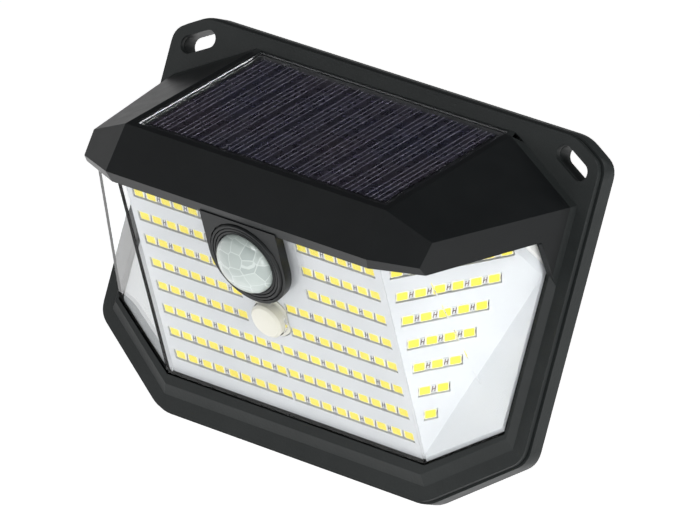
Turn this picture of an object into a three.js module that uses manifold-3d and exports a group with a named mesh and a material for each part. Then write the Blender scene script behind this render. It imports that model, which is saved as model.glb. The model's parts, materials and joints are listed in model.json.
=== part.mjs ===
import * as THREE from 'three';
import { mergeVertices } from 'three/addons/utils/BufferGeometryUtils.js';
import Module from 'manifold-3d';

// Solar wall light with three lit sides, a motion sensor and a mode button.
// Millimetres. +Z is up, the wall is the plane Y = 0 and the light faces -Y.
// The origin is the centre of the back face, which lies on the wall.

const wasm = await Module();
wasm.setup();
const { sin, cos, atan2, hypot, PI } = Math;
const radians = (degrees) => (degrees * PI) / 180;
const v2 = (x, y) => new THREE.Vector2(x, y);
const v3 = (x, y, z) => new THREE.Vector3(x, y, z);

// ================================================================ driving sizes

// Outline of the front shell's flange, seen from the front.
const flangeWidth = 150;
const flangeHeight = 105.6;
const earRun = 10.2;
const earDrop = 5.2;
const footRun = 27.8;
const footRise = 19.3;
const outlineRounding = 3.5;

// Flange, seam and rear cover, from the front to the wall.
const flangeThickness = 1.6;
const seamGap = 0.3;
const coverDepth = 4.7;
const coverOverhang = 0.7;
const coverWall = 2;
const shellWall = 2;
const fit = 0.3;
const seat = 0.1;

// Hood over the lens, which carries the solar panel.
const hoodTopDrop = 3.7;
const hoodTilt = radians(28.7);
const hoodReach = 46.7;
const hoodHalf = 45.8;
const roofTurn = radians(25);
const bandHeight = 13.9;
const bandLean = radians(12.8);
const cornerTurn = radians(22);
const lipPitch = radians(49);
const lipCornerTurn = radians(31);
const lipWidth = 3.65;
const undersideTilt = radians(23.2);
const sideMargin = 3.8;
const sideDraft = radians(15.5);
const cheekPitch = radians(37);
const cheekDrop = 33.4;
const cheekReach = 2.6;

// Raised rim round the lens, and the ledge behind which the lens sits.
const rimHeight = 1.9;
const rimFootMargin = 4.3;
const rimCornerInset = 0.8;
const rimSideRun = 1.6;
const rimFootRun = 3;
const ledgeThickness = 1.6;

// Clear lens.
const lensWall = 1.5;
const lensSetback = 3.3;
const lensSideInset = 2.35;
const lensFoot = 10.4;
const facetTurn = radians(23);
const lensTuck = 3.2;
const lensLip = 0.8;
const lensLipThickness = 1.1;
const lensSealThickness = 0.5;

// Sensor window, the tongue that frames it, and the mode button.
const tongueHalf = 13.2;
const tongueRise = 3;
const tongueRoot = 3;
const sensorDrop = 10.2;
const domeRadius = 9.1;
const domeHeight = 8.4;
const domeWall = 0.8;
const domeFlangeWidth = 1.5;
const bezelRings = 3;
const bezelRingWidth = 0.6;
const bezelGroove = 0.3;
const bezelDepth = 1.2;
const bezelRise = 0.5;
const buttonDrop = 31.4;
const buttonRadius = 5.2;
const buttonRise = 2.1;
const buttonCrown = 0.8;
const buttonEdge = 0.7;
const buttonFlangeRadius = 6.4;
const buttonFlangeHalf = 5.3;
const buttonFlangeThickness = 0.7;
const buttonStroke = 0.5;
const stemRadius = 1.9;

// White reflector, lamp boards and lamps, as depths under the lens's outer face.
const reflectorDepth = 2;
const reflectorThickness = 0.9;
const boardDepth = 3.2;
const boardThickness = 1.2;
const lampLength = 3.5;
const lampWidth = 2.8;
const lampHeight = 0.65;
const carrierThickness = 0.15;
const slotMargin = 0.5;

// Lamp rows on the front and side boards.
const frontRows = 8;
const columnPairs = 9;
const pairGap = 4.45;
const columnMargin = 5.15;
const rowTopMargin = 3.3;
const rowFootMargin = 6.5;
const buttonSideGap = 3;
const boardEndSetback = 19;
const rowSkew = radians(11);
const sideLampPitch = 5.05;
const sideRowStart = 5.5;
const sideRowEnd = 4;

// Solar panel in its recess on the hood.
const recessSideMargin = 2;
const recessTopMargin = 0.3;
const recessFrontMargin = 2;
const recessDepth = 3;
const recessFloor = 1.8;
const sealThickness = 0.6;
const sealWidth = 3;
const backingThickness = 1;
const cellThickness = 0.2;
const cellMargin = 2.5;
const coverSheet = 0.4;
const leadHoleRadius = 2.4;
const leadHoleDrop = 36;

// Hanging slots in the ears.
const slotLength = 12.2;
const slotWidth = 5;
const slotFromSide = 9.1;
const slotFromTop = 6.9;

// Seal between the shell and the cover.
const caseSealWidth = 1;
const caseSealDepth = 0.8;
const caseSealInset = 1;
const caseSealEarRun = 27;
const caseSealEarDrop = 18.6;
const coverRib = 1;

// Case screws and their bosses.
const screwShank = 1;
const screwLength = 4;
const screwHead = 1.8;
const screwHeadHeight = 1.1;
const screwHeadEdge = 0.3;
const screwClearance = 0.3;
const bossRadius = 1.8;
const bossReach = 8;
const topScrewInset = 35;
const topScrewDrop = 6.3;
const sideScrewInset = 12.5;
const sideScrewDrop = 19.5;
const footScrewInset = 37;

// Battery and holder.
const batteryRadius = 9.2;
const batteryLength = 65;
const batteryRise = 16;
const holderWall = 1.5;
const contactThickness = 0.4;
const contactSide = 8;
const contactTab = 1.5;

// Control board behind the front lamp board, and what stands on it.
const controlWidth = 56;
const controlLength = 36;
const controlGap = 5;
const canRadius = 4.1;
const canHeight = 4.2;
const holderRadius = 5.4;
const switchSide = 6;
const switchHeight = 3.5;
const plungerRadius = 1.6;
const plungerLength = 3.4;
const plungerClearance = 0.05;
const chipSize = { width: 10, length: 6, height: 1.5 };
const connectorSize = { width: 7, length: 4.5, height: 5 };
const panelPlugDown = 7;
const batteryPlugDown = 33;

// Wires.
const wireRadius = 0.6;
const wireSpacing = 1;
const wireBend = 4;
const wireSteps = 14;
const leadRun = 9;

// ================================================================ levels

const top = flangeHeight / 2;
const half = flangeWidth / 2;
const flangeBack = -(coverDepth + seamGap);
const flangeFront = flangeBack - flangeThickness;
const rimFront = flangeFront - rimHeight;
const ledgeBack = rimFront + ledgeThickness;
const coverFloor = -coverWall;

// ================================================================ solids

function solid(geometry, matrix) {
  const bare = geometry.clone();
  bare.deleteAttribute('normal');
  bare.deleteAttribute('uv');
  if (matrix) bare.applyMatrix4(matrix);
  const merged = mergeVertices(bare, 1e-4);
  const corners = merged.index.array;
  const kept = [];
  for (let i = 0; i < corners.length; i += 3) {
    const [a, b, c] = corners.slice(i, i + 3);
    if (a !== b && b !== c && c !== a) kept.push(a, b, c);
  }
  return new wasm.Manifold(
    new wasm.Mesh({
      numProp: 3,
      vertProperties: new Float32Array(merged.attributes.position.array),
      triVerts: new Uint32Array(kept),
    }),
  );
}

function geometryOf(manifold) {
  const mesh = manifold.getMesh();
  const geometry = new THREE.BufferGeometry();
  geometry.setAttribute('position', new THREE.BufferAttribute(mesh.vertProperties, 3));
  geometry.setIndex(new THREE.BufferAttribute(mesh.triVerts, 1));
  return geometry;
}

// A plane whose solid side is behind its normal.
function facing(normal, point) {
  return new THREE.Plane().setFromNormalAndCoplanarPoint(normal.clone().normalize(), point);
}

function shifted(plane, outward) {
  return new THREE.Plane(plane.normal.clone(), plane.constant - outward);
}

function mirrored(plane) {
  const { x, y, z } = plane.normal;
  return new THREE.Plane(v3(-x, y, z), plane.constant);
}

function flipped(plane) {
  return new THREE.Plane(plane.normal.clone().negate(), -plane.constant);
}

const bothSides = (planes) => [...planes, ...planes.map(mirrored)];
const backAt = (y) => facing(v3(0, 1, 0), v3(0, y, 0));
const frontAt = (y) => facing(v3(0, -1, 0), v3(0, y, 0));

// Everything behind a plane, as a block far larger than the light.
function behind(plane) {
  const size = 500;
  const turn = new THREE.Quaternion().setFromUnitVectors(v3(0, 0, 1), plane.normal);
  const centre = plane.normal.clone().multiplyScalar(-plane.constant - size / 2);
  const matrix = new THREE.Matrix4().compose(centre, turn, v3(1, 1, 1));
  return solid(new THREE.BoxGeometry(size, size, size), matrix);
}

function bounded(planes) {
  return planes.map(behind).reduce((body, block) => body.intersect(block));
}

// Where a slanted plane crosses the upright plane at depth y, as an upright wall.
function crossing(plane, y) {
  const { x, y: ny, z } = plane.normal;
  const length = hypot(x, z);
  return new THREE.Plane(v3(x / length, 0, z / length), (plane.constant + ny * y) / length);
}

function box(width, depth, height, x, y, z) {
  const matrix = new THREE.Matrix4().makeTranslation(x, y, z);
  return solid(new THREE.BoxGeometry(width, depth, height), matrix);
}

function extruded(shape, depth, curveSegments = 10) {
  return new THREE.ExtrudeGeometry(shape, { depth, bevelEnabled: false, curveSegments });
}

// A plate drawn in X and Z that runs from nearY back to farY.
function wallPlate(shape, nearY, farY, curveSegments = 5) {
  const geometry = extruded(shape, farY - nearY, curveSegments);
  geometry.rotateX(PI / 2);
  geometry.translate(0, farY, 0);
  return solid(geometry);
}

// A round bar square to the wall.
function wallRod(radius, place, nearY, farY, segments = 16) {
  const geometry = new THREE.CylinderGeometry(radius, radius, farY - nearY, segments);
  geometry.translate(place.x, (nearY + farY) / 2, place.z);
  return solid(geometry);
}

function polygon(points) {
  return new THREE.Shape(points);
}

function roundedPolygon(points, reach) {
  const shape = new THREE.Shape();
  points.forEach((corner, index) => {
    const before = points[(index + points.length - 1) % points.length];
    const after = points[(index + 1) % points.length];
    const start = corner.clone().lerp(before, reach / corner.distanceTo(before));
    const end = corner.clone().lerp(after, reach / corner.distanceTo(after));
    if (index === 0) shape.moveTo(start.x, start.y);
    else shape.lineTo(start.x, start.y);
    shape.quadraticCurveTo(corner.x, corner.y, end.x, end.y);
  });
  shape.closePath();
  return shape;
}

// The light's outline, grown outward by a margin. Its ears and feet are cut by straight slopes.
function outline(grow, run = earRun, drop = earDrop) {
  const side = half + grow;
  const end = top + grow;
  const slide = grow * 0.4;
  const right = [
    v2(half - footRun + slide, -end),
    v2(side, -top + footRise - slide),
    v2(side, top - drop + slide),
    v2(half - run + slide, end),
  ];
  const left = right.map((point) => v2(-point.x, point.y)).reverse();
  return [...right, ...left];
}

// ================================================================ hood planes

const ridgeTop = v3(hoodHalf, flangeFront, top - hoodTopDrop);
const ridgeRun = v3(0, -cos(hoodTilt), -sin(hoodTilt));
const ridgeFront = ridgeTop.clone().addScaledVector(ridgeRun, hoodReach / cos(hoodTilt));
const bandRun = v3(0, -sin(bandLean), -cos(bandLean));
const bandFoot = ridgeFront.clone().addScaledVector(bandRun, bandHeight);
const lipRun = v3(0, sin(lipPitch), -cos(lipPitch));
const lipFoot = bandFoot.clone().addScaledVector(lipRun, lipWidth);

const panelNormal = v3(0, -sin(hoodTilt), cos(hoodTilt));
const bandNormal = v3(0, -cos(bandLean), sin(bandLean));
const turnedOut = (normal, angle) => v3(sin(angle), normal.y * cos(angle), normal.z * cos(angle));

const panelPlane = facing(panelNormal, ridgeTop);
const bandPlane = facing(bandNormal, ridgeFront);
const roofPlane = facing(turnedOut(panelNormal, roofTurn), ridgeTop);
const cornerPlane = facing(turnedOut(bandNormal, cornerTurn), ridgeFront);
const lipPlane = facing(v3(0, -cos(lipPitch), -sin(lipPitch)), bandFoot);
const lipCornerNormal = v3(
  cos(lipPitch) * sin(lipCornerTurn),
  -cos(lipPitch) * cos(lipCornerTurn),
  -sin(lipPitch),
);
const lipCornerPlane = facing(lipCornerNormal, bandFoot);
const undersidePlane = facing(v3(0, sin(undersideTilt), -cos(undersideTilt)), lipFoot);
const sideFoot = v3(half - sideMargin, flangeFront, 0);
const sidePlane = facing(v3(cos(sideDraft), -sin(sideDraft), 0), sideFoot);
const cheekPoint = v3(0, rimFront - cheekReach, top - cheekDrop);
const cheekPlane = facing(v3(0, -cos(cheekPitch), -sin(cheekPitch)), cheekPoint);

const roofPlanes = [panelPlane, ...bothSides([roofPlane])];
const hoodSkin = [...roofPlanes, bandPlane, ...bothSides([cornerPlane, sidePlane])];
const hoodPlanes = [...hoodSkin, lipPlane, ...bothSides([lipCornerPlane]), undersidePlane];

// ================================================================ lens planes

const facetFoot = v3(0, rimFront, -top + lensFoot);
const facetTop = v3(0, lipFoot.y + lensSetback, lipFoot.z);
const facetUp = facetTop.clone().sub(facetFoot).normalize();
const facetOut = v3(1, 0, 0).cross(facetUp);
const facetLength = facetTop.distanceTo(facetFoot);
const edgeTop = v3(hoodHalf, facetTop.y, facetTop.z);

const facetPlane = facing(facetOut, facetTop);
const sideFacetPlane = facing(turnedOut(facetOut, facetTurn), edgeTop);
const lensSidePlane = facing(
  sidePlane.normal,
  v3(half - sideMargin - lensSideInset, flangeFront, 0),
);
const lensTopPlane = shifted(flipped(undersidePlane), lensTuck);
const lensSkin = [facetPlane, ...bothSides([sideFacetPlane, lensSidePlane])];

// The space inside the lens's skin, with the skin moved outward by a distance.
function lensSpace(outward, backY, topShift = 0) {
  const skin = lensSkin.map((plane) => shifted(plane, outward));
  return bounded([...skin, shifted(lensTopPlane, topShift), backAt(backY)]);
}

// Frames of the lamp boards: x along the rows, y up the slope and z out of the lens.
const facetFrame = new THREE.Matrix4().makeBasis(v3(1, 0, 0), facetUp, facetOut);
facetFrame.setPosition(facetTop);
const onFacet = (across, down, out) => v3(across, -down, out).applyMatrix4(facetFrame);

// The side boards run from the front edges to the lens's side walls, in front of the ledge.
const onPlane = (plane, x, y) => -(plane.constant + plane.normal.x * x + plane.normal.y * y);
const boardEndY = ledgeBack - boardEndSetback;
const boardEnd = v3(
  onPlane(lensSidePlane, 0, boardEndY) / lensSidePlane.normal.x,
  boardEndY,
  onPlane(lensTopPlane, 0, boardEndY) / lensTopPlane.normal.z,
);
const boardRun = boardEnd.clone().sub(edgeTop);
const boardTurn = atan2(-boardRun.dot(facetOut), boardRun.x);

const sideOut = turnedOut(facetOut, boardTurn);
const sideAcross = v3(cos(boardTurn), 0, 0).addScaledVector(facetOut, -sin(boardTurn));
const rowRun = sideAcross.clone().multiplyScalar(cos(rowSkew));
rowRun.addScaledVector(facetUp, -sin(rowSkew));
const sideBoardPlane = facing(sideOut, edgeTop);
const mitrePlane = facing(sideOut.clone().sub(facetOut), edgeTop);

// A plate parallel to a board plane, between two depths under it.
const layer = (plane, depth, thickness) => [
  shifted(plane, -depth),
  flipped(shifted(plane, -depth - thickness)),
];

function facetPlate(shape, low, high, curveSegments = 12) {
  const geometry = extruded(shape, high - low, curveSegments);
  geometry.translate(0, 0, low);
  return solid(geometry, facetFrame);
}

function disc(radius, x, y) {
  const shape = new THREE.Shape();
  shape.absarc(x, y, radius, 0, 2 * PI, false);
  return shape;
}

const facetRod = (radius, down, low, high, curveSegments = 12) =>
  facetPlate(disc(radius, 0, -down), low, high, curveSegments);

// A turned piece on the front facet, from a closed profile of radius and height.
function facetTurned(profile, down, segments = 28) {
  const geometry = new THREE.LatheGeometry(profile, segments);
  geometry.rotateX(PI / 2);
  geometry.translate(0, -down, 0);
  return solid(geometry, facetFrame);
}

// ================================================================ materials and placing

const light = new THREE.Group();

const finish = (color, roughness, metalness = 0) =>
  new THREE.MeshStandardMaterial({ color, roughness, metalness });

const clear = finish(0xe4ebee, 0.08);
clear.transparent = true;
clear.opacity = 0.35;

const finishes = {
  housing: finish(0x24282a, 0.5),
  clear,
  rubber: finish(0x1b1b1c, 0.9),
  white: finish(0xf1f2f1, 0.5),
  lamp: finish(0xf2d86a, 0.4),
  cell: finish(0x14131f, 0.3),
  dome: finish(0xf4f2ec, 0.45),
  steel: finish(0xb9bcc0, 0.3, 1),
  laminate: finish(0x1f5a35, 0.55),
  chip: finish(0x1a1a1c, 0.6),
  battery: finish(0x2f6fb0, 0.4),
  holder: finish(0x202022, 0.6),
  wireRed: finish(0xb3262a, 0.6),
  wireBlack: finish(0x161617, 0.6),
  connector: finish(0xe9e4d4, 0.5),
};

function place(name, body, look) {
  const mesh = new THREE.Mesh(geometryOf(body), finishes[look]);
  mesh.name = name;
  light.add(mesh);
}

// ================================================================ fastener and slot places

const footScrewRise = caseSealInset + caseSealWidth + bossRadius + 2 * fit + seat;
const screwPlaces = [
  v3(half - topScrewInset, 0, top - topScrewDrop),
  v3(half - sideScrewInset, 0, top - sideScrewDrop),
  v3(half - footScrewInset, 0, -top + footScrewRise),
].flatMap((place) => [place, v3(-place.x, 0, place.z)]);

function hangingSlots(nearY, farY, grow = 0) {
  const reach = (slotLength - slotWidth) / 2;
  const radius = slotWidth / 2 + grow;
  const slope = atan2(earDrop, earRun);
  return [-1, 1].map((side) => {
    const x = side * (half - slotFromSide);
    const z = top - slotFromTop;
    const lean = -side * slope;
    const shape = new THREE.Shape();
    shape.absarc(x + reach * cos(lean), z + reach * sin(lean), radius, lean - PI / 2, lean + PI / 2);
    shape.absarc(x - reach * cos(lean), z - reach * sin(lean), radius, lean + PI / 2, lean + 1.5 * PI);
    return wallPlate(shape, nearY, farY, 8);
  });
}

const cutAll = (body, cutters) => cutters.reduce((rest, cutter) => rest.subtract(cutter), body);
const joinAll = (bodies) => bodies.reduce((sum, body) => sum.add(body));

// ================================================================ sensor and button levels

const domeHole = domeRadius + fit;
const bezelOuter = domeHole + bezelRings * (bezelRingWidth + bezelGroove);
const domeFlange = domeRadius + domeFlangeWidth;
const domeFlangeTop = fit - 2 * seat;
const bezelSeat = tongueRise - bezelDepth;
const buttonFlangeTop = -lensWall - fit;
const sensorTop = -1;
const controlTopFace = -(boardDepth + boardThickness + controlGap);
const controlBackFace = controlTopFace - boardThickness;
const stemFoot = -(boardDepth + boardThickness) + seat;
const buttonHole = buttonRadius + fit;
const stemHole = stemRadius + fit + 0.2;

// ================================================================ front shell

function tongue() {
  const shape = new THREE.Shape();
  shape.moveTo(tongueHalf, tongueRoot);
  shape.lineTo(-tongueHalf, tongueRoot);
  shape.lineTo(-tongueHalf, -sensorDrop);
  shape.absarc(0, -sensorDrop, tongueHalf, PI, 2 * PI, false);
  shape.closePath();
  return facetPlate(shape, fit, tongueRise, 16);
}

function rim() {
  const slope = atan2(footRise, footRun);
  const footZ = -top + rimFootMargin;
  const footCorner = v3(half - footRun - rimCornerInset, flangeFront, footZ);
  const sideNormal = v3(rimHeight, -rimSideRun, 0);
  const cornerNormal = v3(rimHeight * sin(slope), -rimFootRun, -rimHeight * cos(slope));
  return bounded([
    ...bothSides([facing(sideNormal, sideFoot), facing(cornerNormal, footCorner)]),
    facing(v3(0, -rimFootRun, -rimHeight), footCorner),
    ...roofPlanes,
    frontAt(rimFront),
    backAt(flangeBack),
  ]);
}

const lensLipPlanes = (outward) =>
  lensSkin.map((plane) => shifted(crossing(plane, ledgeBack), lensLip + outward));

function recess(sideClearance, depth, height) {
  const run = v3(0, -ridgeRun.y, -ridgeRun.z);
  const rear = ridgeTop.clone().addScaledVector(ridgeRun, recessTopMargin + sideClearance);
  const front = ridgeFront.clone().addScaledVector(ridgeRun, -recessFrontMargin - sideClearance);
  const side = v3(hoodHalf - recessSideMargin - sideClearance, 0, 0);
  return bounded([
    ...bothSides([facing(v3(1, 0, 0), side)]),
    facing(run, rear),
    facing(ridgeRun, front),
    shifted(panelPlane, height),
    flipped(shifted(panelPlane, -depth)),
  ]);
}

function leadHole(radius) {
  const centre = ridgeTop.clone().setX(0).addScaledVector(ridgeRun, leadHoleDrop);
  const geometry = new THREE.CylinderGeometry(radius, radius, 20, 20);
  const turn = new THREE.Quaternion().setFromUnitVectors(v3(0, 1, 0), panelNormal);
  return solid(geometry, new THREE.Matrix4().compose(centre, turn, v3(1, 1, 1)));
}

function frontShell() {
  const flange = wallPlate(roundedPolygon(outline(0), outlineRounding), flangeFront, flangeBack);
  const hood = bounded([...hoodPlanes, backAt(flangeBack)]);
  const cheeks = bounded([...hoodSkin, cheekPlane, backAt(flangeBack)]);
  const inside = hoodPlanes.map((plane) =>
    shifted(plane, plane === panelPlane ? -(recessDepth + recessFloor) : -shellWall),
  );
  const cavity = bounded([...inside, backAt(0)]);
  const opening = lensSpace(fit, 0, shellWall);
  const pocket = bounded([
    ...lensLipPlanes(fit),
    shifted(lensTopPlane, fit),
    frontAt(ledgeBack),
    backAt(0),
  ]);
  const hoodInside = bounded([...hoodPlanes.map((plane) => shifted(plane, -fit)), backAt(0)]);
  const bossEnd = coverFloor - fit;
  const bosses = screwPlaces.flatMap((centre) => [
    wallRod(bossRadius, centre, flangeFront + fit, bossEnd),
    wallRod(bossRadius, centre, flangeFront - bossReach, bossEnd).intersect(hoodInside),
  ]);
  const body = joinAll([flange, hood, cheeks, rim(), tongue()]);
  const hollow = joinAll([cutAll(body, [cavity, opening, pocket]), ...bosses]);
  const pilots = screwPlaces.map((centre) => wallRod(screwShank + seat, centre, flangeBack - 1, 0));
  return cutAll(hollow, [
    ...pilots,
    ...hangingSlots(flangeFront - 1, 0),
    facetRod(bezelOuter + fit, sensorDrop, bezelSeat, tongueRise + 5),
    facetRod(domeHole, sensorDrop, -1, tongueRise + 5),
    recess(0, recessDepth, 10),
    leadHole(leadHoleRadius),
  ]);
}

place('front_shell', frontShell(), 'housing');

// ================================================================ rear cover and case seal

const sealOutline = (inset) => outline(-inset, caseSealEarRun, caseSealEarDrop);

function rearCover() {
  const plate = wallPlate(roundedPolygon(outline(coverOverhang), outlineRounding), -coverDepth, 0);
  const inner = sealOutline(caseSealInset + caseSealWidth + seat + coverRib);
  const pocket = wallPlate(polygon(inner), -coverDepth - 1, coverFloor);
  const groove = polygon(sealOutline(caseSealInset - seat));
  groove.holes.push(polygon(sealOutline(caseSealInset + caseSealWidth + seat)));
  const holes = screwPlaces.flatMap((centre) => [
    wallRod(screwShank + screwClearance, centre, -coverDepth - 1, 1),
    wallRod(screwHead + screwClearance, centre, -screwHeadHeight - seat, 1),
    wallRod(bossRadius + fit, centre, -coverDepth - 1, coverFloor),
  ]);
  return cutAll(plate, [
    pocket,
    wallPlate(groove, -coverDepth - 1, -coverDepth + caseSealDepth),
    ...holes,
    ...hangingSlots(-coverDepth - 1, 1, seat),
  ]);
}

place('rear_cover', rearCover(), 'housing');

const sealRing = polygon(sealOutline(caseSealInset));
sealRing.holes.push(polygon(sealOutline(caseSealInset + caseSealWidth)));
place('case_seal', wallPlate(sealRing, flangeBack + seat, -coverDepth + caseSealDepth - seat), 'rubber');

// ================================================================ lens and its seal

const lensLipFront = ledgeBack + lensSealThickness + 2 * seat;
const lensLipBack = lensLipFront + lensLipThickness;

// Room for the bosses that pass the edge of the lens and its seal.
const bossRoom = () =>
  screwPlaces.map((centre) => wallRod(bossRadius + fit, centre, flangeFront, coverFloor));

function lens() {
  const shell = lensSpace(0, lensLipBack).subtract(lensSpace(-lensWall, 10, 30));
  const lip = bounded([
    ...lensLipPlanes(0),
    lensTopPlane,
    frontAt(lensLipFront),
    backAt(lensLipBack),
  ]).subtract(lensSpace(-lensWall, 10, 30));
  return cutAll(shell.add(lip), [
    ...bossRoom(),
    facetRod(domeFlange + fit, sensorDrop, -5, 5),
    facetRod(buttonHole, buttonDrop, -5, 5),
  ]);
}

place('lens', lens(), 'clear');

const lensSeal = bounded([
  ...lensLipPlanes(0),
  lensTopPlane,
  frontAt(ledgeBack + seat),
  backAt(ledgeBack + seat + lensSealThickness),
]).subtract(lensSpace(fit, 10, 30));
place('lens_seal', cutAll(lensSeal, bossRoom()), 'rubber');

// ================================================================ lamp rows

const rowPitch = (facetLength - rowTopMargin - rowFootMargin) / (frontRows - 1);
const rowDown = (row) => rowTopMargin + row * rowPitch;
const pairPitch = (2 * (hoodHalf - columnMargin) - pairGap) / (columnPairs - 1);

const columns = [];
for (let pair = 0; pair < columnPairs; pair += 1) {
  const centre = (pair - (columnPairs - 1) / 2) * pairPitch;
  columns.push(centre - pairGap / 2, centre + pairGap / 2);
}

// Each row is in two stretches, which leave out the lamps at the sensor and the button.
function middleGap(down) {
  const reach = lampWidth / 2 + slotMargin;
  if (down - reach < sensorDrop + tongueHalf) return { left: tongueHalf, right: tongueHalf };
  if (Math.abs(down - buttonDrop) > buttonFlangeRadius + reach) return { left: 0, right: 0 };
  const right = buttonFlangeHalf + fit;
  return { left: right + buttonSideGap, right };
}

const frontStretches = [];
for (let row = 0; row < frontRows; row += 1) {
  const down = rowDown(row);
  const gap = middleGap(down);
  const left = columns.filter((x) => x < -gap.left - lampLength / 2);
  const right = columns.filter((x) => x > gap.right + lampLength / 2);
  frontStretches.push({ name: `lamps_row_${row + 1}_left`, down, places: left });
  frontStretches.push({ name: `lamps_row_${row + 1}_right`, down, places: right });
}

// A comb: a thin strip that carries a lamp at each place along x.
function lampComb(places, low) {
  const base = carrierThickness;
  const end = lampLength / 2;
  const first = places[0] - end - slotMargin / 2;
  const last = places[places.length - 1] + end + slotMargin / 2;
  const shape = new THREE.Shape();
  shape.moveTo(last, 0);
  shape.lineTo(last, base);
  [...places].reverse().forEach((x) => {
    shape.lineTo(x + end, base);
    shape.lineTo(x + end, base + lampHeight);
    shape.lineTo(x - end, base + lampHeight);
    shape.lineTo(x - end, base);
  });
  shape.lineTo(first, base);
  shape.lineTo(first, 0);
  shape.closePath();
  const geometry = extruded(shape, lampWidth);
  geometry.rotateX(PI / 2);
  geometry.translate(0, lampWidth / 2, low);
  return geometry;
}

const lampFoot = -boardDepth + seat / 2;

function rowSlot(places, grow) {
  const low = places[0] - lampLength / 2 - grow;
  const high = places[places.length - 1] + lampLength / 2 + grow;
  const reach = lampWidth / 2 + grow;
  return polygon([v2(low, -reach), v2(high, -reach), v2(high, reach), v2(low, reach)]);
}

frontStretches.forEach(({ name, down, places }) => {
  const geometry = lampComb(places, lampFoot);
  geometry.translate(0, -down, 0);
  place(name, solid(geometry, facetFrame), 'lamp');
});

// Side rows start near the front edge. The first row fills the board and each lower row loses a lamp.
function sideRowFrame(row) {
  const origin = edgeTop.clone().addScaledVector(facetUp, -rowDown(row));
  const frame = new THREE.Matrix4().makeBasis(rowRun, sideOut.clone().cross(rowRun), sideOut);
  return frame.setPosition(origin);
}

const innerSide = shifted(lensSidePlane, -lensWall);
const innerBack = backAt(ledgeBack - reflectorThickness);

function lampsBefore(plane, row) {
  const start = v3(0, 0, -boardDepth).applyMatrix4(sideRowFrame(row));
  const room = -plane.distanceToPoint(start) / rowRun.dot(plane.normal);
  return Math.floor((room - sideRowStart - sideRowEnd) / sideLampPitch) + 1;
}

const firstRowLamps = Math.min(lampsBefore(innerSide, 0), lampsBefore(innerBack, 0));
const sideRowLamps = (row) => Math.max(0, Math.min(firstRowLamps - row, lampsBefore(innerBack, row)));
const sideRowPlaces = (row) =>
  Array.from({ length: sideRowLamps(row) }, (unused, index) => sideRowStart + index * sideLampPitch);

const sideRows = [];
for (let row = 0; row < frontRows; row += 1) {
  const places = sideRowPlaces(row);
  if (places.length > 0) sideRows.push({ frame: sideRowFrame(row), places });
}

// ================================================================ reflectors and lamp boards

const insideBack = ledgeBack;
const insideLens = lensSkin.map((plane) => shifted(plane, -lensWall - fit));
const insideRoom = [...insideLens, lensTopPlane, backAt(insideBack)];
const besideMitre = flipped(shifted(mitrePlane, fit / 2));
const betweenMitres = bothSides([shifted(mitrePlane, -fit / 2)]);

const frontLayer = (depth, thickness) =>
  bounded([...layer(facetPlane, depth, thickness), ...betweenMitres, ...insideRoom]);

const sideLayer = (depth, thickness) =>
  bounded([...layer(sideBoardPlane, depth, thickness), besideMitre, ...insideRoom]);

// The button's flange has flat sides, which leaves room for the lamps beside it.
function buttonFlangePlate(grow, low, high) {
  const width = 2 * (buttonFlangeHalf + grow);
  const block = new THREE.BoxGeometry(width, 4 * buttonRadius, high - low);
  block.translate(0, -buttonDrop, (low + high) / 2);
  const round = facetRod(buttonFlangeRadius + grow, buttonDrop, low, high);
  return round.intersect(solid(block, facetFrame));
}

const throughReflector = [-reflectorDepth - reflectorThickness - 1, -reflectorDepth + 1];

function frontReflector() {
  const slots = frontStretches.map(({ down, places }) => {
    const geometry = extruded(rowSlot(places, slotMargin / 2), 3);
    geometry.translate(0, -down, throughReflector[0]);
    return solid(geometry, facetFrame);
  });
  return cutAll(frontLayer(reflectorDepth, reflectorThickness), [
    ...slots,
    facetRod(canRadius + 2 * fit, sensorDrop, ...throughReflector),
    buttonFlangePlate(fit, ...throughReflector),
  ]);
}

function sideReflector() {
  const floorFront = insideBack - reflectorThickness;
  const floor = bounded([
    flipped(shifted(sideBoardPlane, -reflectorDepth - reflectorThickness)),
    besideMitre,
    frontAt(floorFront),
    ...insideRoom,
  ]);
  const slots = sideRows.map(({ frame, places }) => {
    const geometry = extruded(rowSlot(places, slotMargin / 2), 3);
    geometry.translate(0, 0, throughReflector[0]);
    return solid(geometry, frame);
  });
  return cutAll(sideLayer(reflectorDepth, reflectorThickness).add(floor), slots);
}

function sideLamps() {
  const sheet = sideLayer(boardDepth - seat / 2 - carrierThickness, carrierThickness);
  const height = lampHeight + carrierThickness / 2;
  const lamps = sideRows.flatMap(({ frame, places }) =>
    places.map((x) => {
      const lamp = new THREE.BoxGeometry(lampLength, lampWidth, height);
      lamp.translate(x, 0, lampFoot + carrierThickness / 2 + height / 2);
      return solid(lamp, frame);
    }),
  );
  return joinAll([sheet, ...lamps]);
}

function placeBothSides(name, body, look) {
  place(`${name}_right`, body, look);
  place(`${name}_left`, body.mirror([1, 0, 0]), look);
}

const frontBoard = cutAll(frontLayer(boardDepth, boardThickness), [
  facetRod(canRadius + 2 * fit, sensorDrop, -boardDepth - boardThickness - 1, 0),
  facetRod(stemHole, buttonDrop, -boardDepth - boardThickness - 1, 0),
]);

place('reflector_front', frontReflector(), 'white');
placeBothSides('reflector', sideReflector(), 'white');
place('lamp_board_front', frontBoard, 'white');
placeBothSides('lamp_board', sideLayer(boardDepth, boardThickness), 'white');
placeBothSides('side_lamps', sideLamps(), 'lamp');

// ================================================================ solar panel

const sealTop = -recessDepth + seat + sealThickness;
const backingTop = sealTop + seat + backingThickness;
const cellTop = backingTop + seat + cellThickness;
const coverTop = cellTop + seat + coverSheet;

function panelSheet(margin, low, high) {
  return recess(margin, -low, high);
}

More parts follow.
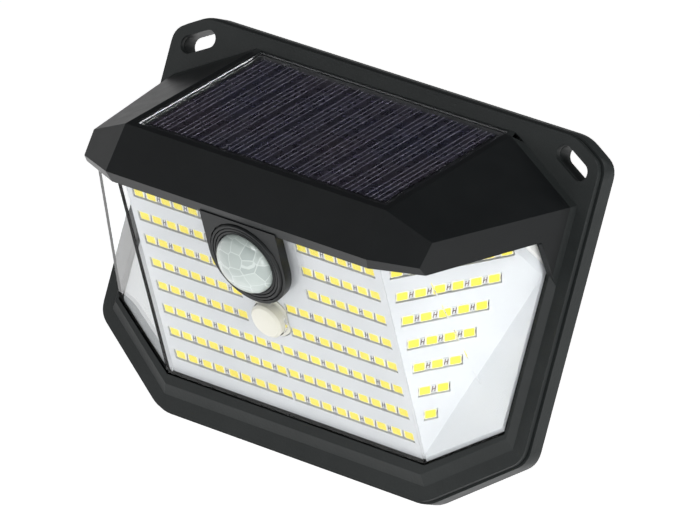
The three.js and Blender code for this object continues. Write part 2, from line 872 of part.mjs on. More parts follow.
const panelSeal = panelSheet(fit, -recessDepth + seat, sealTop);
place('panel_seal', panelSeal.subtract(panelSheet(fit + sealWidth, -recessDepth, 0)), 'rubber');
place('panel_board', panelSheet(fit, sealTop + seat, backingTop), 'holder');
place('panel_cells', panelSheet(cellMargin, backingTop + seat, cellTop), 'cell');
place('panel_cover', panelSheet(fit, cellTop + seat, coverTop), 'clear');

// ================================================================ motion sensor

const domeFoot = -lensWall + seat;
const bezelTop = tongueRise + bezelRise;

// The dome's side view above its shoulder, from the crown outward.
function domeArc(radius, crown, shoulder, steps = 7) {
  const arc = [];
  for (let step = 0; step <= steps; step += 1) {
    const turn = (step / steps) * (PI / 2);
    arc.push(v2(radius * sin(turn), shoulder + (crown - shoulder) * cos(turn)));
  }
  return arc;
}

const domeProfile = [
  ...domeArc(domeRadius - domeWall, domeHeight - domeWall, bezelTop),
  v2(domeRadius - domeWall, domeFoot),
  v2(domeFlange, domeFoot),
  v2(domeFlange, domeFlangeTop),
  v2(domeRadius, domeFlangeTop),
  ...domeArc(domeRadius, domeHeight, bezelTop).reverse(),
];
place('sensor_dome', facetTurned(domeProfile, sensorDrop), 'dome');

const bezelFoot = bezelSeat + seat;
const bezelRingTops = [];
for (let ring = bezelRings - 1; ring >= 0; ring -= 1) {
  const inner = domeHole + ring * (bezelRingWidth + bezelGroove);
  const outer = inner + bezelRingWidth;
  bezelRingTops.push(v2(outer + bezelGroove, bezelTop - bezelRise), v2(outer, bezelTop), v2(inner, bezelTop));
  if (ring > 0) bezelRingTops.push(v2(inner, bezelTop - bezelRise));
}
const bezelProfile = [
  v2(domeHole, bezelFoot),
  v2(bezelOuter, bezelFoot),
  ...bezelRingTops,
  v2(domeHole, bezelFoot),
];
place('sensor_bezel', facetTurned(bezelProfile, sensorDrop), 'housing');

const holderFoot = controlTopFace + seat;
const holderTop = sensorTop - canHeight - seat;
place('sensor_holder', facetRod(holderRadius, sensorDrop, holderFoot, holderTop, 8), 'holder');
place('motion_sensor', facetRod(canRadius, sensorDrop, sensorTop - canHeight, sensorTop, 8), 'steel');

// ================================================================ mode button and its switch

const buttonFlangeFoot = buttonFlangeTop - buttonFlangeThickness;
const buttonProfile = [
  v2(0, stemFoot),
  v2(stemRadius, stemFoot),
  v2(stemRadius, buttonFlangeFoot),
  v2(buttonRadius, buttonFlangeFoot),
  v2(buttonRadius, buttonRise - buttonCrown),
  v2(buttonRadius - buttonEdge, buttonRise - buttonCrown / 4),
  v2(0, buttonRise),
];
const buttonFlange = buttonFlangePlate(0, buttonFlangeFoot, buttonFlangeTop);
place('mode_button', facetTurned(buttonProfile, buttonDrop).add(buttonFlange), 'dome');

const switchFoot = controlTopFace + seat;
const switchTop = switchFoot + switchHeight;
const plungerTop = stemFoot - seat;
const plungerFoot = plungerTop - plungerLength;
const switchBlock = new THREE.BoxGeometry(switchSide, switchSide, switchHeight);
switchBlock.translate(0, -buttonDrop, (switchFoot + switchTop) / 2);
const plungerBore = facetRod(
  plungerRadius + plungerClearance,
  buttonDrop,
  plungerFoot - buttonStroke - seat,
  switchTop + 1,
  8,
);
place('switch_body', solid(switchBlock, facetFrame).subtract(plungerBore), 'holder');
place('switch_plunger', facetRod(plungerRadius, buttonDrop, plungerFoot, plungerTop, 8), 'white');

// ================================================================ control board

const controlDown = (sensorDrop + buttonDrop) / 2;

function boardBlock(width, length, thickness, across, down, low) {
  const block = new THREE.BoxGeometry(width, length, thickness);
  block.translate(across, -down, low + thickness / 2);
  return solid(block, facetFrame);
}

const controlBoard = boardBlock(controlWidth, controlLength, boardThickness, 0, controlDown, controlBackFace);
place('control_board', controlBoard, 'laminate');

function underControl({ width, length, height }, down) {
  return boardBlock(width, length, height, 0, down, controlBackFace - seat - height);
}

place('controller_chip', underControl(chipSize, controlDown), 'chip');
place('panel_connector', underControl(connectorSize, panelPlugDown), 'connector');
place('battery_connector', underControl(connectorSize, batteryPlugDown), 'connector');

// ================================================================ battery

const holderBack = coverFloor - fit;
const batteryY = holderBack - holderWall - fit - batteryRadius;
const batteryRoom = batteryLength / 2 + fit + contactThickness + seat;

const batteryTurn = new THREE.Matrix4().makeRotationZ(PI / 2).setPosition(0, batteryY, batteryRise);
const cellGeometry = new THREE.CylinderGeometry(batteryRadius, batteryRadius, batteryLength, 28);
place('battery', solid(cellGeometry, batteryTurn), 'battery');

function batteryHolder() {
  const side = 2 * (batteryRadius + fit + holderWall);
  const depth = batteryRadius + fit + holderWall;
  const outer = box(2 * (batteryRoom + holderWall), depth, side, 0, holderBack - depth / 2, batteryRise);
  const room = side - 2 * holderWall;
  const inner = box(2 * batteryRoom, depth, room, 0, holderBack - holderWall - depth / 2, batteryRise);
  return outer.subtract(inner);
}

place('battery_holder', batteryHolder(), 'holder');

const contactFront = batteryY - batteryRadius - contactTab;
const contactX = batteryRoom - seat - contactThickness / 2;
const contactDepth = batteryY + contactSide / 2 - contactFront;
const contact = (x) =>
  box(contactThickness, contactDepth, contactSide, x, contactFront + contactDepth / 2, batteryRise);
place('contact_positive', contact(contactX), 'steel');
place('contact_negative', contact(-contactX), 'steel');

// ================================================================ wires

function wire(name, points, look) {
  const path = new THREE.CatmullRomCurve3(points);
  const options = { steps: wireSteps, bevelEnabled: false, extrudePath: path, curveSegments: 4 };
  place(name, solid(new THREE.ExtrudeGeometry(disc(wireRadius, 0, 0), options)), look);
}

const connectorFoot = controlBackFace - seat - connectorSize.height;
const pinPlace = (across, down) => onFacet(across, down, connectorFoot - fit);
const towardPin = (pin) => pin.clone().addScaledVector(facetOut, -wireBend);
const leadTop = ridgeTop.clone().setX(0).addScaledVector(ridgeRun, leadHoleDrop);

[
  { colour: 'red', side: 1, look: 'wireRed' },
  { colour: 'black', side: -1, look: 'wireBlack' },
].forEach(({ colour, side, look }) => {
  const tab = v3(side * contactX, contactFront - 2 * fit, batteryRise);
  const fromTab = tab.clone().add(v3(0, -wireBend, -wireBend));
  const batteryPin = pinPlace(side * wireSpacing, batteryPlugDown);
  wire(`battery_wire_${colour}`, [tab, fromTab, towardPin(batteryPin), batteryPin], look);

  const lead = leadTop.clone().setX(side * wireSpacing).addScaledVector(panelNormal, sealTop - seat);
  const belowPanel = lead.clone().addScaledVector(panelNormal, -leadRun);
  const panelPin = pinPlace(side * wireSpacing, panelPlugDown);
  wire(`panel_wire_${colour}`, [lead, belowPanel, towardPin(panelPin), panelPin], look);
});

// ================================================================ case screws

const headBack = -seat;
const headFront = headBack - screwHeadHeight + seat;
const screwProfile = [
  v2(0, headFront - screwLength),
  v2(screwShank, headFront - screwLength + screwShank),
  v2(screwShank, headFront),
  v2(screwHead, headFront),
  v2(screwHead, headBack - screwHeadEdge),
  v2(screwHead - screwHeadEdge, headBack),
  v2(0, headBack),
];
screwPlaces.forEach((centre, index) => {
  const geometry = new THREE.LatheGeometry(screwProfile, 12);
  geometry.translate(centre.x, 0, centre.z);
  place(`case_screw_${index + 1}`, solid(geometry), 'steel');
});

export default light;
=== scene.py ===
import json
import math

import bmesh
import bpy
from mathutils import Matrix, Vector


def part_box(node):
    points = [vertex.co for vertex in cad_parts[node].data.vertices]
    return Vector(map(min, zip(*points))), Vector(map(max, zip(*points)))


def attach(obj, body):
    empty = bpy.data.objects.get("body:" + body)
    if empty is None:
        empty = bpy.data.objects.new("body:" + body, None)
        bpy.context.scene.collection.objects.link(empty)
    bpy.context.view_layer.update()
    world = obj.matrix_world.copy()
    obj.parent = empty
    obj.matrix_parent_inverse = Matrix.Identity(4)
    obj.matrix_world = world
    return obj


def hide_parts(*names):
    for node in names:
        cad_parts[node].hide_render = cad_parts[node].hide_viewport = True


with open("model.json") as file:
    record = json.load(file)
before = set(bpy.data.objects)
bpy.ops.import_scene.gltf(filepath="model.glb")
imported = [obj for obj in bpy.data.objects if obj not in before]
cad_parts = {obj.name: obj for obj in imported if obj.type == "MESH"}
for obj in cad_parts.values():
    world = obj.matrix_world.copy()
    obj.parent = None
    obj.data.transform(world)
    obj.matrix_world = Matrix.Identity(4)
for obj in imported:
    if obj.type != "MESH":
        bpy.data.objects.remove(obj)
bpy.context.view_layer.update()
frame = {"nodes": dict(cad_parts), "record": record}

MM = 0.001
scene = bpy.context.scene


# ---------------------------------------------------------------- node helpers

def new_material(name):
    material = bpy.data.materials.new(name)
    material.use_nodes = True
    tree = material.node_tree
    shader = tree.nodes["Principled BSDF"]
    return material, tree, shader


def node(tree, kind):
    return tree.nodes.new(kind)


def link(tree, source, target):
    tree.links.new(source, target)


def object_coords(tree):
    return node(tree, "ShaderNodeTexCoord").outputs["Object"]


def noise(tree, coords, scale, detail=2.0):
    made = node(tree, "ShaderNodeTexNoise")
    made.inputs["Scale"].default_value = scale
    made.inputs["Detail"].default_value = detail
    link(tree, coords, made.inputs["Vector"])
    return made.outputs["Fac"]


def ramp(tree, source, stops):
    made = node(tree, "ShaderNodeValToRGB")
    ends = made.color_ramp.elements
    while len(ends) < len(stops):
        ends.new(0.5)
    for end, (position, colour) in zip(ends, stops):
        end.position = position
        end.color = (*colour, 1.0)
    link(tree, source, made.inputs["Fac"])
    return made.outputs["Color"]


def remap(tree, source, low, high):
    made = node(tree, "ShaderNodeMapRange")
    made.inputs["To Min"].default_value = low
    made.inputs["To Max"].default_value = high
    link(tree, source, made.inputs["Value"])
    return made.outputs["Result"]


def bump(tree, shader, height, distance):
    made = node(tree, "ShaderNodeBump")
    made.inputs["Distance"].default_value = distance
    link(tree, height, made.inputs["Height"])
    link(tree, made.outputs["Normal"], shader.inputs["Normal"])


def plastic(name, dark, bright, rough_low, rough_high, grain=2500.0, relief=0.00002):
    """Moulded plastic: slight colour mottling, uneven gloss and a fine grain."""
    material, tree, shader = new_material(name)
    coords = object_coords(tree)
    tone = noise(tree, coords, 60.0, 4.0)
    link(tree, ramp(tree, tone, [(0.3, dark), (0.7, bright)]), shader.inputs["Base Color"])
    gloss = noise(tree, coords, 220.0, 3.0)
    link(tree, remap(tree, gloss, rough_low, rough_high), shader.inputs["Roughness"])
    bump(tree, shader, noise(tree, coords, grain, 2.0), relief)
    return material


MATERIALS = {
    "seal": plastic("seal_rubber", (0.01, 0.01, 0.01), (0.016, 0.016, 0.016), 0.7, 0.9),
    "reflector": plastic(
        "reflector_white", (0.55, 0.57, 0.59), (0.60, 0.615, 0.635), 0.3, 0.42, 900.0, 0.00001
    ),
    "white_board": plastic("board_white", (0.8, 0.8, 0.78), (0.85, 0.85, 0.83), 0.3, 0.4),
    "laminate": plastic("board_green", (0.01, 0.06, 0.025), (0.015, 0.09, 0.04), 0.3, 0.45),
    "panel_back": plastic("panel_black", (0.004, 0.004, 0.0045), (0.006, 0.006, 0.007), 0.3, 0.4),
    "plated_steel": plastic("plated_steel", (0.6, 0.6, 0.58), (0.68, 0.68, 0.66), 0.2, 0.35),
    "screw_steel": plastic("screw_steel", (0.4, 0.4, 0.4), (0.5, 0.5, 0.5), 0.25, 0.4),
    "black_plastic": plastic("black_plastic", (0.01, 0.01, 0.011), (0.015, 0.015, 0.016), 0.4, 0.55),
    "switch_white": plastic("switch_white", (0.8, 0.8, 0.78), (0.85, 0.85, 0.83), 0.3, 0.4),
    "connector_nylon": plastic("connector_nylon", (0.75, 0.72, 0.62), (0.8, 0.78, 0.7), 0.4, 0.5),
    "battery_sleeve": plastic("battery_sleeve", (0.03, 0.16, 0.42), (0.04, 0.19, 0.48), 0.25, 0.35),
    "wire_red": plastic("wire_red", (0.5, 0.02, 0.02), (0.6, 0.03, 0.03), 0.35, 0.45),
    "wire_black": plastic("wire_black", (0.01, 0.01, 0.01), (0.015, 0.015, 0.015), 0.35, 0.45),
}
for metal in ("plated_steel", "screw_steel"):
    MATERIALS[metal].node_tree.nodes["Principled BSDF"].inputs["Metallic"].default_value = 1.0


def math_node(tree, operation, *values):
    made = node(tree, "ShaderNodeMath")
    made.operation = operation
    for socket, value in zip(made.inputs, values):
        if isinstance(value, (int, float)):
            socket.default_value = value
        else:
            link(tree, value, socket)
    return made.outputs[0]


def mix_colour(tree, factor, first, second):
    made = node(tree, "ShaderNodeMix")
    made.data_type = "RGBA"
    link(tree, factor, made.inputs[0])
    for socket, value in ((made.inputs[6], first), (made.inputs[7], second)):
        if isinstance(value, tuple):
            socket.default_value = (*value, 1.0)
        else:
            link(tree, value, socket)
    return made.outputs[2]


RIM_FRONT = -0.0085
RIM_TOLERANCE = 0.0001
HOUSING_RELIEF = 0.00006
HOUSING_SPECULAR = 0.22
HOOD_GRAIN = 0.3


def housing_plastic():
    """Charcoal plastic: spark-eroded texture on the flange and rim, smooth on the hood."""
    material, tree, shader = new_material("housing_plastic")
    coords = object_coords(tree)
    parts = node(tree, "ShaderNodeSeparateXYZ")
    link(tree, coords, parts.inputs[0])
    flange = math_node(tree, "GREATER_THAN", parts.outputs["Y"], RIM_FRONT - RIM_TOLERANCE)
    tone = noise(tree, coords, 70.0, 4.0)
    smooth = ramp(tree, tone, [(0.3, (0.0050, 0.0058, 0.0063)), (0.7, (0.0064, 0.0074, 0.0079))])
    rough = ramp(tree, tone, [(0.3, (0.012, 0.0143, 0.0143)), (0.7, (0.0155, 0.018, 0.018))])
    link(tree, mix_colour(tree, flange, smooth, rough), shader.inputs["Base Color"])
    gloss = remap(tree, noise(tree, coords, 260.0, 3.0), 0.30, 0.40)
    matt = remap(tree, noise(tree, coords, 260.0, 3.0), 0.42, 0.55)
    made = node(tree, "ShaderNodeMix")
    link(tree, flange, made.inputs[0])
    link(tree, gloss, made.inputs[2])
    link(tree, matt, made.inputs[3])
    link(tree, made.outputs[0], shader.inputs["Roughness"])
    fine = noise(tree, coords, 3200.0, 2.0)
    coarse = noise(tree, coords, 1500.0, 2.0)
    height = node(tree, "ShaderNodeMix")
    link(tree, flange, height.inputs[0])
    link(tree, math_node(tree, "MULTIPLY", fine, HOOD_GRAIN), height.inputs[2])
    link(tree, coarse, height.inputs[3])
    bump(tree, shader, height.outputs[0], HOUSING_RELIEF)
    shader.inputs["Specular IOR Level"].default_value = HOUSING_SPECULAR
    return material


MATERIALS["housing"] = housing_plastic()


# Fingers and gaps are shares of one strip's width, measured from the strip's middle.
CELL_STRIPS = 10
FINGER_STEP = 0.21
FINGER_HALF = 0.015
STRIP_EDGE = 0.488


def cell_silicon():
    """Dark silicon strips with four printed fingers each, under the panel's laminate."""
    material, tree, shader = new_material("solar_cell")
    low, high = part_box("panel_cells")
    strip = (high.x - low.x) / CELL_STRIPS
    coords = object_coords(tree)
    parts = node(tree, "ShaderNodeSeparateXYZ")
    link(tree, coords, parts.inputs[0])
    along = math_node(tree, "SUBTRACT", parts.outputs["X"], low.x)
    place = math_node(tree, "DIVIDE", along, strip)
    share = math_node(tree, "FRACT", place)
    off_centre = math_node(tree, "ABSOLUTE", math_node(tree, "SUBTRACT", share, 0.5))
    middle = math_node(tree, "COMPARE", off_centre, FINGER_STEP / 2, FINGER_HALF)
    outer = math_node(tree, "COMPARE", off_centre, 1.5 * FINGER_STEP, FINGER_HALF)
    edge = math_node(tree, "GREATER_THAN", off_centre, STRIP_EDGE)
    fingers = math_node(tree, "MAXIMUM", middle, outer)
    tone = noise(tree, coords, 38.0, 3.0)
    silicon = ramp(tree, tone, [(0.35, (0.0036, 0.0040, 0.0105)), (0.65, (0.0085, 0.0058, 0.0098))])
    base = mix_colour(tree, edge, silicon, (0.0025, 0.0025, 0.004))
    link(tree, mix_colour(tree, fingers, base, (0.15, 0.14, 0.17)), shader.inputs["Base Color"])
    link(tree, remap(tree, noise(tree, coords, 400.0), 0.22, 0.34), shader.inputs["Roughness"])
    return material


MATERIALS["solar_cell"] = cell_silicon()


def milky_plastic(name, dark, bright, roughness, relief):
    """Moulded polyethylene: light sinks in a little, with a soft gloss on top."""
    material, tree, shader = new_material(name)
    coords = object_coords(tree)
    tone = noise(tree, coords, 90.0, 3.0)
    link(tree, ramp(tree, tone, [(0.3, dark), (0.7, bright)]), shader.inputs["Base Color"])
    shader.inputs["Roughness"].default_value = roughness
    shader.inputs["Subsurface Weight"].default_value = 0.35
    shader.inputs["Subsurface Radius"].default_value = (1.0, 1.0, 1.0)
    shader.inputs["Subsurface Scale"].default_value = 0.001
    shader.inputs["Coat Weight"].default_value = 0.4
    shader.inputs["Coat Roughness"].default_value = 0.12
    bump(tree, shader, noise(tree, coords, 1800.0, 2.0), relief)
    return material


MATERIALS["cream_plastic"] = milky_plastic(
    "button_plastic", (0.57, 0.56, 0.48), (0.61, 0.60, 0.53), 0.35, 0.000005
)


SEGMENT_SCALE = 260.0
SEGMENT_SCATTER = 0.55
SEGMENT_EDGE = 0.03
SEGMENT_RELIEF = 0.00025


def segment_pattern(tree, coords):
    made = node(tree, "ShaderNodeTexVoronoi")
    made.inputs["Scale"].default_value = SEGMENT_SCALE
    made.inputs["Randomness"].default_value = SEGMENT_SCATTER
    link(tree, coords, made.inputs["Vector"])
    return made


def dome_plastic():
    """Thin milky polyethylene with the pattern of its inner lens segments showing through."""
    material, tree, shader = new_material("dome_plastic")
    coords = object_coords(tree)
    cells = segment_pattern(tree, coords)
    borders = segment_pattern(tree, coords)
    borders.feature = "DISTANCE_TO_EDGE"
    shade = node(tree, "ShaderNodeSeparateColor")
    link(tree, cells.outputs["Color"], shade.inputs[0])
    tone = ramp(tree, shade.outputs[0], [(0.0, (0.30, 0.345, 0.33)), (1.0, (0.39, 0.44, 0.42))])
    edge = math_node(tree, "LESS_THAN", borders.outputs["Distance"], SEGMENT_EDGE)
    link(tree, mix_colour(tree, edge, tone, (0.47, 0.52, 0.50)), shader.inputs["Base Color"])
    shader.inputs["Roughness"].default_value = 0.3
    shader.inputs["Subsurface Weight"].default_value = 0.25
    shader.inputs["Subsurface Radius"].default_value = (1.0, 1.0, 1.0)
    shader.inputs["Subsurface Scale"].default_value = 0.0006
    shader.inputs["Coat Weight"].default_value = 0.7
    shader.inputs["Coat Roughness"].default_value = 0.06
    bump(tree, shader, borders.outputs["Distance"], SEGMENT_RELIEF)
    return material


DOME_PLASTIC = dome_plastic()
PACKAGE_WHITE = plastic("package_white", (0.83, 0.80, 0.58), (0.88, 0.86, 0.68), 0.25, 0.35)
PHOSPHOR = plastic("phosphor", (0.84, 0.69, 0.035), (0.90, 0.77, 0.07), 0.3, 0.45, 4000.0)
# Near-black: the solder pads on the front strips, and painted shade for the gap between the two
# lamps of a pair.
DARK_PAD_AND_GAP_SHADE = plastic("dark_pad_and_gap_shade", (0.016, 0.012, 0.009), (0.035, 0.026, 0.02), 0.3, 0.5)
COPPER_PAD = plastic("copper_pad", (0.055, 0.022, 0.01), (0.11, 0.045, 0.02), 0.3, 0.45)
MATERIALS["lamp"] = PACKAGE_WHITE


def clear_plastic(name, tint, roughness, ior):
    """Clear moulded plastic that bends light for the eye and lets lamps through."""
    material, tree, shader = new_material(name)
    shader.inputs["Base Color"].default_value = (*tint, 1.0)
    shader.inputs["Roughness"].default_value = roughness
    shader.inputs["IOR"].default_value = ior
    shader.inputs["Transmission Weight"].default_value = 1.0
    through = node(tree, "ShaderNodeBsdfTransparent")
    through.inputs["Color"].default_value = (*tint, 1.0)
    rays = node(tree, "ShaderNodeLightPath")
    mixer = node(tree, "ShaderNodeMixShader")
    link(tree, rays.outputs["Is Shadow Ray"], mixer.inputs["Fac"])
    link(tree, shader.outputs["BSDF"], mixer.inputs[1])
    link(tree, through.outputs["BSDF"], mixer.inputs[2])
    out = tree.nodes["Material Output"]
    link(tree, mixer.outputs["Shader"], out.inputs["Surface"])
    return material


MATERIALS["lens_clear"] = clear_plastic("lens_clear", (0.985, 0.99, 0.99), 0.02, 1.2)
MATERIALS["panel_film"] = clear_plastic("panel_film", (0.86, 0.87, 0.89), 0.03, 1.25)

for part in frame["record"]["subparts"]:
    target = frame["nodes"][part["node"]]
    target.data.materials.clear()
    target.data.materials.append(MATERIALS[part["material_slot"]])

SLOT_OF = {part["node"]: part["material_slot"] for part in frame["record"]["subparts"]}
BODY_OF = {
    name: body
    for body, names in frame["record"]["behaviour"]["bodies"].items()
    for name in names
}


# ---------------------------------------------------------------- pieces from the CAD solids

WELD = 1e-6
FLAT_ANGLE = math.radians(0.6)


def clean_copy(name):
    """The CAD solid as a bmesh with whole flat faces in place of triangles."""
    shape = bmesh.new()
    shape.from_mesh(frame["nodes"][name].data)
    bmesh.ops.remove_doubles(shape, verts=shape.verts, dist=WELD)
    bmesh.ops.dissolve_limit(
        shape, angle_limit=FLAT_ANGLE, verts=shape.verts, edges=shape.edges
    )
    return shape


def add_piece(name, shape, materials, node_name):
    """A visible piece that rides with its CAD node's body, with the materials given."""
    mesh = bpy.data.meshes.new(name)
    shape.to_mesh(mesh)
    shape.free()
    for material in materials:
        mesh.materials.append(material)
    made = bpy.data.objects.new(name, mesh)
    scene.collection.objects.link(made)
    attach(made, BODY_OF[node_name])
    return made


FLAT_AREA = 20 * MM * MM


def refined(name, node_name, width, segments=3, angle=24.0, material=None, flat=False):
    """The CAD solid with its hard edges rounded. Large faces are always shaded flat."""
    made = add_piece(
        name, clean_copy(node_name), [material or MATERIALS[SLOT_OF[node_name]]], node_name
    )
    for face in made.data.polygons:
        face.use_smooth = not flat and face.area < FLAT_AREA
    rounding = made.modifiers.new("rounding", "BEVEL")
    rounding.width = width
    rounding.segments = segments
    rounding.limit_method = "ANGLE"
    rounding.angle_limit = math.radians(angle)
    rounding.harden_normals = not flat
    rounding.use_clamp_overlap = True
    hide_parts(node_name)
    return made


refined("moulded_front", "front_shell", 0.22 * MM)
refined("back_plate", "rear_cover", 0.45 * MM)
refined("sensor_ring", "sensor_bezel", 0.2 * MM)
refined("mode_key", "mode_button", 0.25 * MM)
refined("clear_lens", "lens", 0.3 * MM, 2, flat=True)
SCREWS = 6
for index in range(1, SCREWS + 1):
    refined(f"screw_{index}", f"case_screw_{index}", 0.08 * MM, 2)


# ---------------------------------------------------------------- sensor window

refined("sensor_window", "sensor_dome", 0.3 * MM, 3, 40.0, DOME_PLASTIC)


# ---------------------------------------------------------------- lamps

LAMP_LENGTH = 3.5 * MM
LAMP_WIDTH = 2.8 * MM
LAMP_HEIGHT = 0.65 * MM
SIZE_TOLERANCE = 0.02 * MM
RIM_CORNER = 0.12 * MM
RIM_DROP = 0.12 * MM
RIM_INSET = 0.1 * MM
TOP_CORNER = 0.15 * MM
WINDOW_SIDE = 0.25 * MM
WINDOW_END = 0.21 * MM
WINDOW_CORNER = 0.4 * MM
WINDOW_DEPTH = 0.06 * MM
PAD_HEIGHT = 0.06 * MM
BRIDGE_HEIGHT = 0.04 * MM
PAD_LEAN = 0.1
BRIDGE_LEAN = 0.2
PAIR_GAP_LIMIT = 4.8 * MM
BED_DROP = 0.15 * MM
BED_MARGIN = 0.2 * MM
PAD_BAR = 0.22 * MM
PAD_SPREAD = 0.4 * MM
PAD_SHORT = 1.7 * MM
# Reach of the painted-shade bar that stands for the gap between the two lamps of a pair.
GAP_SHADE_REACH = 2.3 * MM


LAMP_MATERIALS = [PACKAGE_WHITE, PHOSPHOR, DARK_PAD_AND_GAP_SHADE, COPPER_PAD, MATERIALS["reflector"]]
BODY_INDEX, WINDOW_INDEX, PAD_AND_GAP_SHADE_INDEX, SIDE_PAD_INDEX, BED_INDEX = range(5)
ROW_BREAK = 1.5 * LAMP_LENGTH


def lamp_places(node_name):
    """Centre, row direction and outward normal of each raised lamp on a CAD strip."""
    shape = clean_copy(node_name)
    found = []
    for face in shape.faces:
        lengths = sorted(edge.calc_length() for edge in face.edges)
        if len(lengths) != 4:
            continue
        if abs(lengths[0] - LAMP_WIDTH) > SIZE_TOLERANCE:
            continue
        if abs(lengths[3] - LAMP_LENGTH) > SIZE_TOLERANCE:
            continue
        along = max(face.edges, key=lambda edge: edge.calc_length())
        run = (along.verts[1].co - along.verts[0].co).normalized()
        if run.x * face.calc_center_median().x < 0 or "side" not in node_name:
            run = run if run.x > 0 else -run
        found.append((face.calc_center_median(), run, face.normal.copy()))
    shape.free()
    return found


def add_prism(shape, outline, low, high, place, material_index):
    """A straight prism over an outline, put in place by a matrix."""
    lower = [shape.verts.new(place @ Vector((x, y, low))) for x, y in outline]
    upper = [shape.verts.new(place @ Vector((x, y, high))) for x, y in outline]
    faces = [shape.faces.new(upper), shape.faces.new(lower[::-1])]
    count = len(outline)
    for i in range(count):
        k = (i + 1) % count
        faces.append(shape.faces.new((lower[i], lower[k], upper[k], upper[i])))
    for face in faces:
        face.material_index = material_index


def rounded_rectangle(width, height, radius, steps=3):
    outline = []
    for cx, cy, start in ((1, 1, 0), (-1, 1, 90), (-1, -1, 180), (1, -1, 270)):
        for step in range(steps + 1):
            turn = math.radians(start + 90 * step / steps)
            outline.append((
                cx * (width / 2 - radius) + radius * math.cos(turn),
                cy * (height / 2 - radius) + radius * math.sin(turn),
            ))
    return outline


def rectangle(width, height):
    x, y = width / 2, height / 2
    return [(-x, -y), (x, -y), (x, y), (-x, y)]


def lamp_frame(centre, run, normal):
    side = normal.cross(run)
    return Matrix.Translation(centre) @ Matrix((run, side, normal)).transposed().to_4x4()


def add_lamp(shape, place):
    """A white package with a chamfered rim and a yellow window set into it."""
    rim = rounded_rectangle(LAMP_LENGTH, LAMP_WIDTH, RIM_CORNER)
    top = rounded_rectangle(LAMP_LENGTH - 2 * RIM_INSET, LAMP_WIDTH - 2 * RIM_INSET, TOP_CORNER)
    window = rounded_rectangle(
        LAMP_LENGTH - 2 * WINDOW_SIDE, LAMP_WIDTH - 2 * WINDOW_END, WINDOW_CORNER
    )
    levels = [
        (rim, -LAMP_HEIGHT),
        (rim, -RIM_DROP),
        (top, 0.0),
        (window, 0.0),
        (window, -WINDOW_DEPTH),
    ]
    rings = [[shape.verts.new(place @ Vector((x, y, z))) for x, y in ring] for ring, z in levels]
    count = len(rim)
    for lower, upper in zip(rings, rings[1:]):
        for i in range(count):
            k = (i + 1) % count
            shape.faces.new((lower[i], lower[k], upper[k], upper[i])).material_index = BODY_INDEX
    shape.faces.new(rings[-1]).material_index = WINDOW_INDEX
    shape.faces.new(rings[0][::-1]).material_index = BODY_INDEX


def add_pads_and_gap_shade(shape, place, reach, double, material_index):
    """Bars between two lamps: one slanted bar, or two bars joined by a slanted one. The two joined
    bars are bare solder; the lone slanted bar between the two lamps of a pair is painted shade, a
    dark line in place of the gap between them.
    """
    low, high = -BED_DROP, -BED_DROP + PAD_HEIGHT
    bar = PAD_BAR
    lean = PAD_LEAN * reach
    slanted = [
        (-lean - bar / 2, -reach / 2),
        (-lean + bar / 2, -reach / 2),
        (lean + bar / 2, reach / 2),
        (lean - bar / 2, reach / 2),
    ]
    if not double:
        add_prism(shape, slanted, low, high, place, material_index)
        return
    for offset in (-PAD_SPREAD, PAD_SPREAD):
        moved = [(x + offset, y) for x, y in slanted]
        add_prism(shape, moved, low, high, place, material_index)
    bridge = [
        (-PAD_SPREAD, -bar),
        (PAD_SPREAD, -BRIDGE_LEAN * bar),
        (PAD_SPREAD, bar),
        (-PAD_SPREAD, BRIDGE_LEAN * bar),
    ]
    add_prism(shape, bridge, low, low + BRIDGE_HEIGHT, place, material_index)


def row_groups(places):
    """Lamps grouped by row, each row sorted along its own direction."""
    run = places[0][1]
    side = places[0][2].cross(run)
    rows = {}
    for centre, direction, normal in places:
        rows.setdefault(round(centre.dot(side) / MM), []).append((centre, direction, normal))
    return [sorted(row, key=lambda lamp: lamp[0].dot(run)) for row in rows.values()]


def add_lamp_row(shape, row, on_side):
    bar_index = SIDE_PAD_INDEX if on_side else PAD_AND_GAP_SHADE_INDEX
    middle = (row[0][0] + row[-1][0]) / 2
    length = (row[-1][0] - row[0][0]).length + LAMP_LENGTH + 2 * BED_MARGIN
    bed = rectangle(length, LAMP_WIDTH - 2 * BED_MARGIN)
    add_prism(shape, bed, -LAMP_HEIGHT, -BED_DROP, lamp_frame(middle, *row[0][1:]), BED_INDEX)
    for centre, run, normal in row:
        add_lamp(shape, lamp_frame(centre, run, normal))
    for (first, run, normal), (second, *_) in zip(row, row[1:]):
        pitch = (second - first).length
        if pitch > ROW_BREAK:
            continue
        place = lamp_frame((first + second) / 2, run, normal)
        # Within a pair on the front strips, one dark slanted bar is painted shade for the gap
        # between the two lamps.
        double = on_side or pitch > PAIR_GAP_LIMIT
        add_pads_and_gap_shade(shape, place, PAD_SHORT if double else GAP_SHADE_REACH, double, bar_index)
    for lamp, sign in ((row[0], -1), (row[-1], 1)):
        centre, run, normal = lamp
        place = lamp_frame(centre + run * sign * (LAMP_LENGTH / 2 + PAD_BAR / 2), run, normal)
        add_pads_and_gap_shade(shape, place, PAD_SHORT, False, bar_index)


lamp_nodes = [name for name in frame["nodes"] if SLOT_OF[name] == "lamp"]
for name in sorted(lamp_nodes):
    lamps = lamp_places(name)
    strip = bmesh.new()
    for row in row_groups(lamps):
        add_lamp_row(strip, row, name.startswith("side"))
    piece = add_piece(f"{name}_detail", strip, LAMP_MATERIALS, name)
    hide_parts(name)


# ---------------------------------------------------------------- floor, light and camera

def plane(name, half, centre):
    mesh = bpy.data.meshes.new(name)
    corners = [(-half, -half, 0), (half, -half, 0), (half, half, 0), (-half, half, 0)]
    mesh.from_pydata(corners, [], [(0, 1, 2, 3)])
    made = bpy.data.objects.new(name, mesh)
    made.location = centre
    scene.collection.objects.link(made)
    return made


FLOOR_HALF = 30.0
FLOOR_LEVEL = -0.35

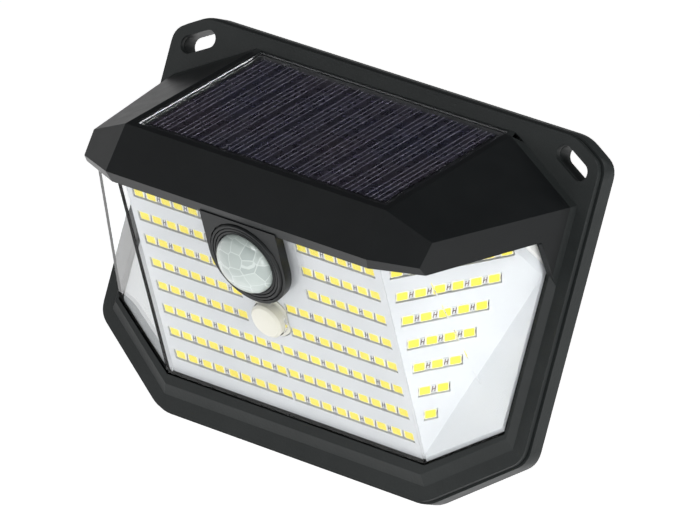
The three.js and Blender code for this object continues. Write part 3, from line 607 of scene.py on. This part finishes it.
floor = plane("floor", FLOOR_HALF, (0, 0, FLOOR_LEVEL))
floor_material, floor_tree, floor_shader = new_material("floor_pale")
floor_shader.inputs["Base Color"].default_value = (0.9, 0.9, 0.9, 1)
floor_shader.inputs["Roughness"].default_value = 0.9
floor_shader.inputs["Emission Color"].default_value = (1, 1, 1, 1)
floor_shader.inputs["Emission Strength"].default_value = 0.95
floor.data.materials.append(floor_material)

world = bpy.data.worlds.new("studio")
world.use_nodes = True
sky = world.node_tree
way = node(sky, "ShaderNodeSeparateXYZ")
link(sky, node(sky, "ShaderNodeTexCoord").outputs["Generated"], way.inputs[0])
link(sky, ramp(sky, way.outputs["Z"], [
    (0.0, (1.0, 1.0, 1.0)),
    (0.12, (1.0, 1.0, 1.0)),
    (0.32, (0.03, 0.03, 0.033)),
    (1.0, (0.015, 0.015, 0.016)),
]), sky.nodes["Background"].inputs["Color"])
sky.nodes["Background"].inputs["Strength"].default_value = 1.0
scene.world = world


def area_light(name, place, size, power):
    """A square light that faces the object."""
    data = bpy.data.lights.new(name, "AREA")
    data.size = size
    data.energy = power
    made = bpy.data.objects.new(name, data)
    made.location = place
    made.rotation_euler = (-Vector(place)).to_track_quat("-Z", "Y").to_euler()
    scene.collection.objects.link(made)


area_light("key", (0.9, -0.9, 1.3), 0.9, 16)
area_light("fill", (1.7, -0.5, -0.1), 0.8, 9)
area_light("rim", (0.9, 0.5, 1.3), 0.5, 10)
area_light("glint", (-1.0, -0.33, 1.1), 0.3, 3)

AZIMUTH = math.radians(37.0)
ELEVATION = math.radians(5.47)
ROLL = math.radians(14.69)
DISTANCE = 2.25909
TARGET = Vector((-0.0015, 0.0, 0.00115))

back = Vector((
    math.sin(AZIMUTH) * math.cos(ELEVATION),
    -math.cos(AZIMUTH) * math.cos(ELEVATION),
    math.sin(ELEVATION),
))
right = Vector((math.cos(AZIMUTH), math.sin(AZIMUTH), 0.0))
up = back.cross(right)
turn = Matrix((right, up, back)).transposed() @ Matrix.Rotation(-ROLL, 3, "Z").inverted()
camera_data = bpy.data.cameras.new("camera")
camera_data.sensor_width = 36.0
camera_data.lens = 431.35
camera_data.clip_end = 50.0
camera = bpy.data.objects.new("camera", camera_data)
camera.matrix_world = Matrix.Translation(TARGET + back * DISTANCE) @ turn.to_4x4()
scene.collection.objects.link(camera)
scene.camera = camera
scene.view_settings.view_transform = "Standard"
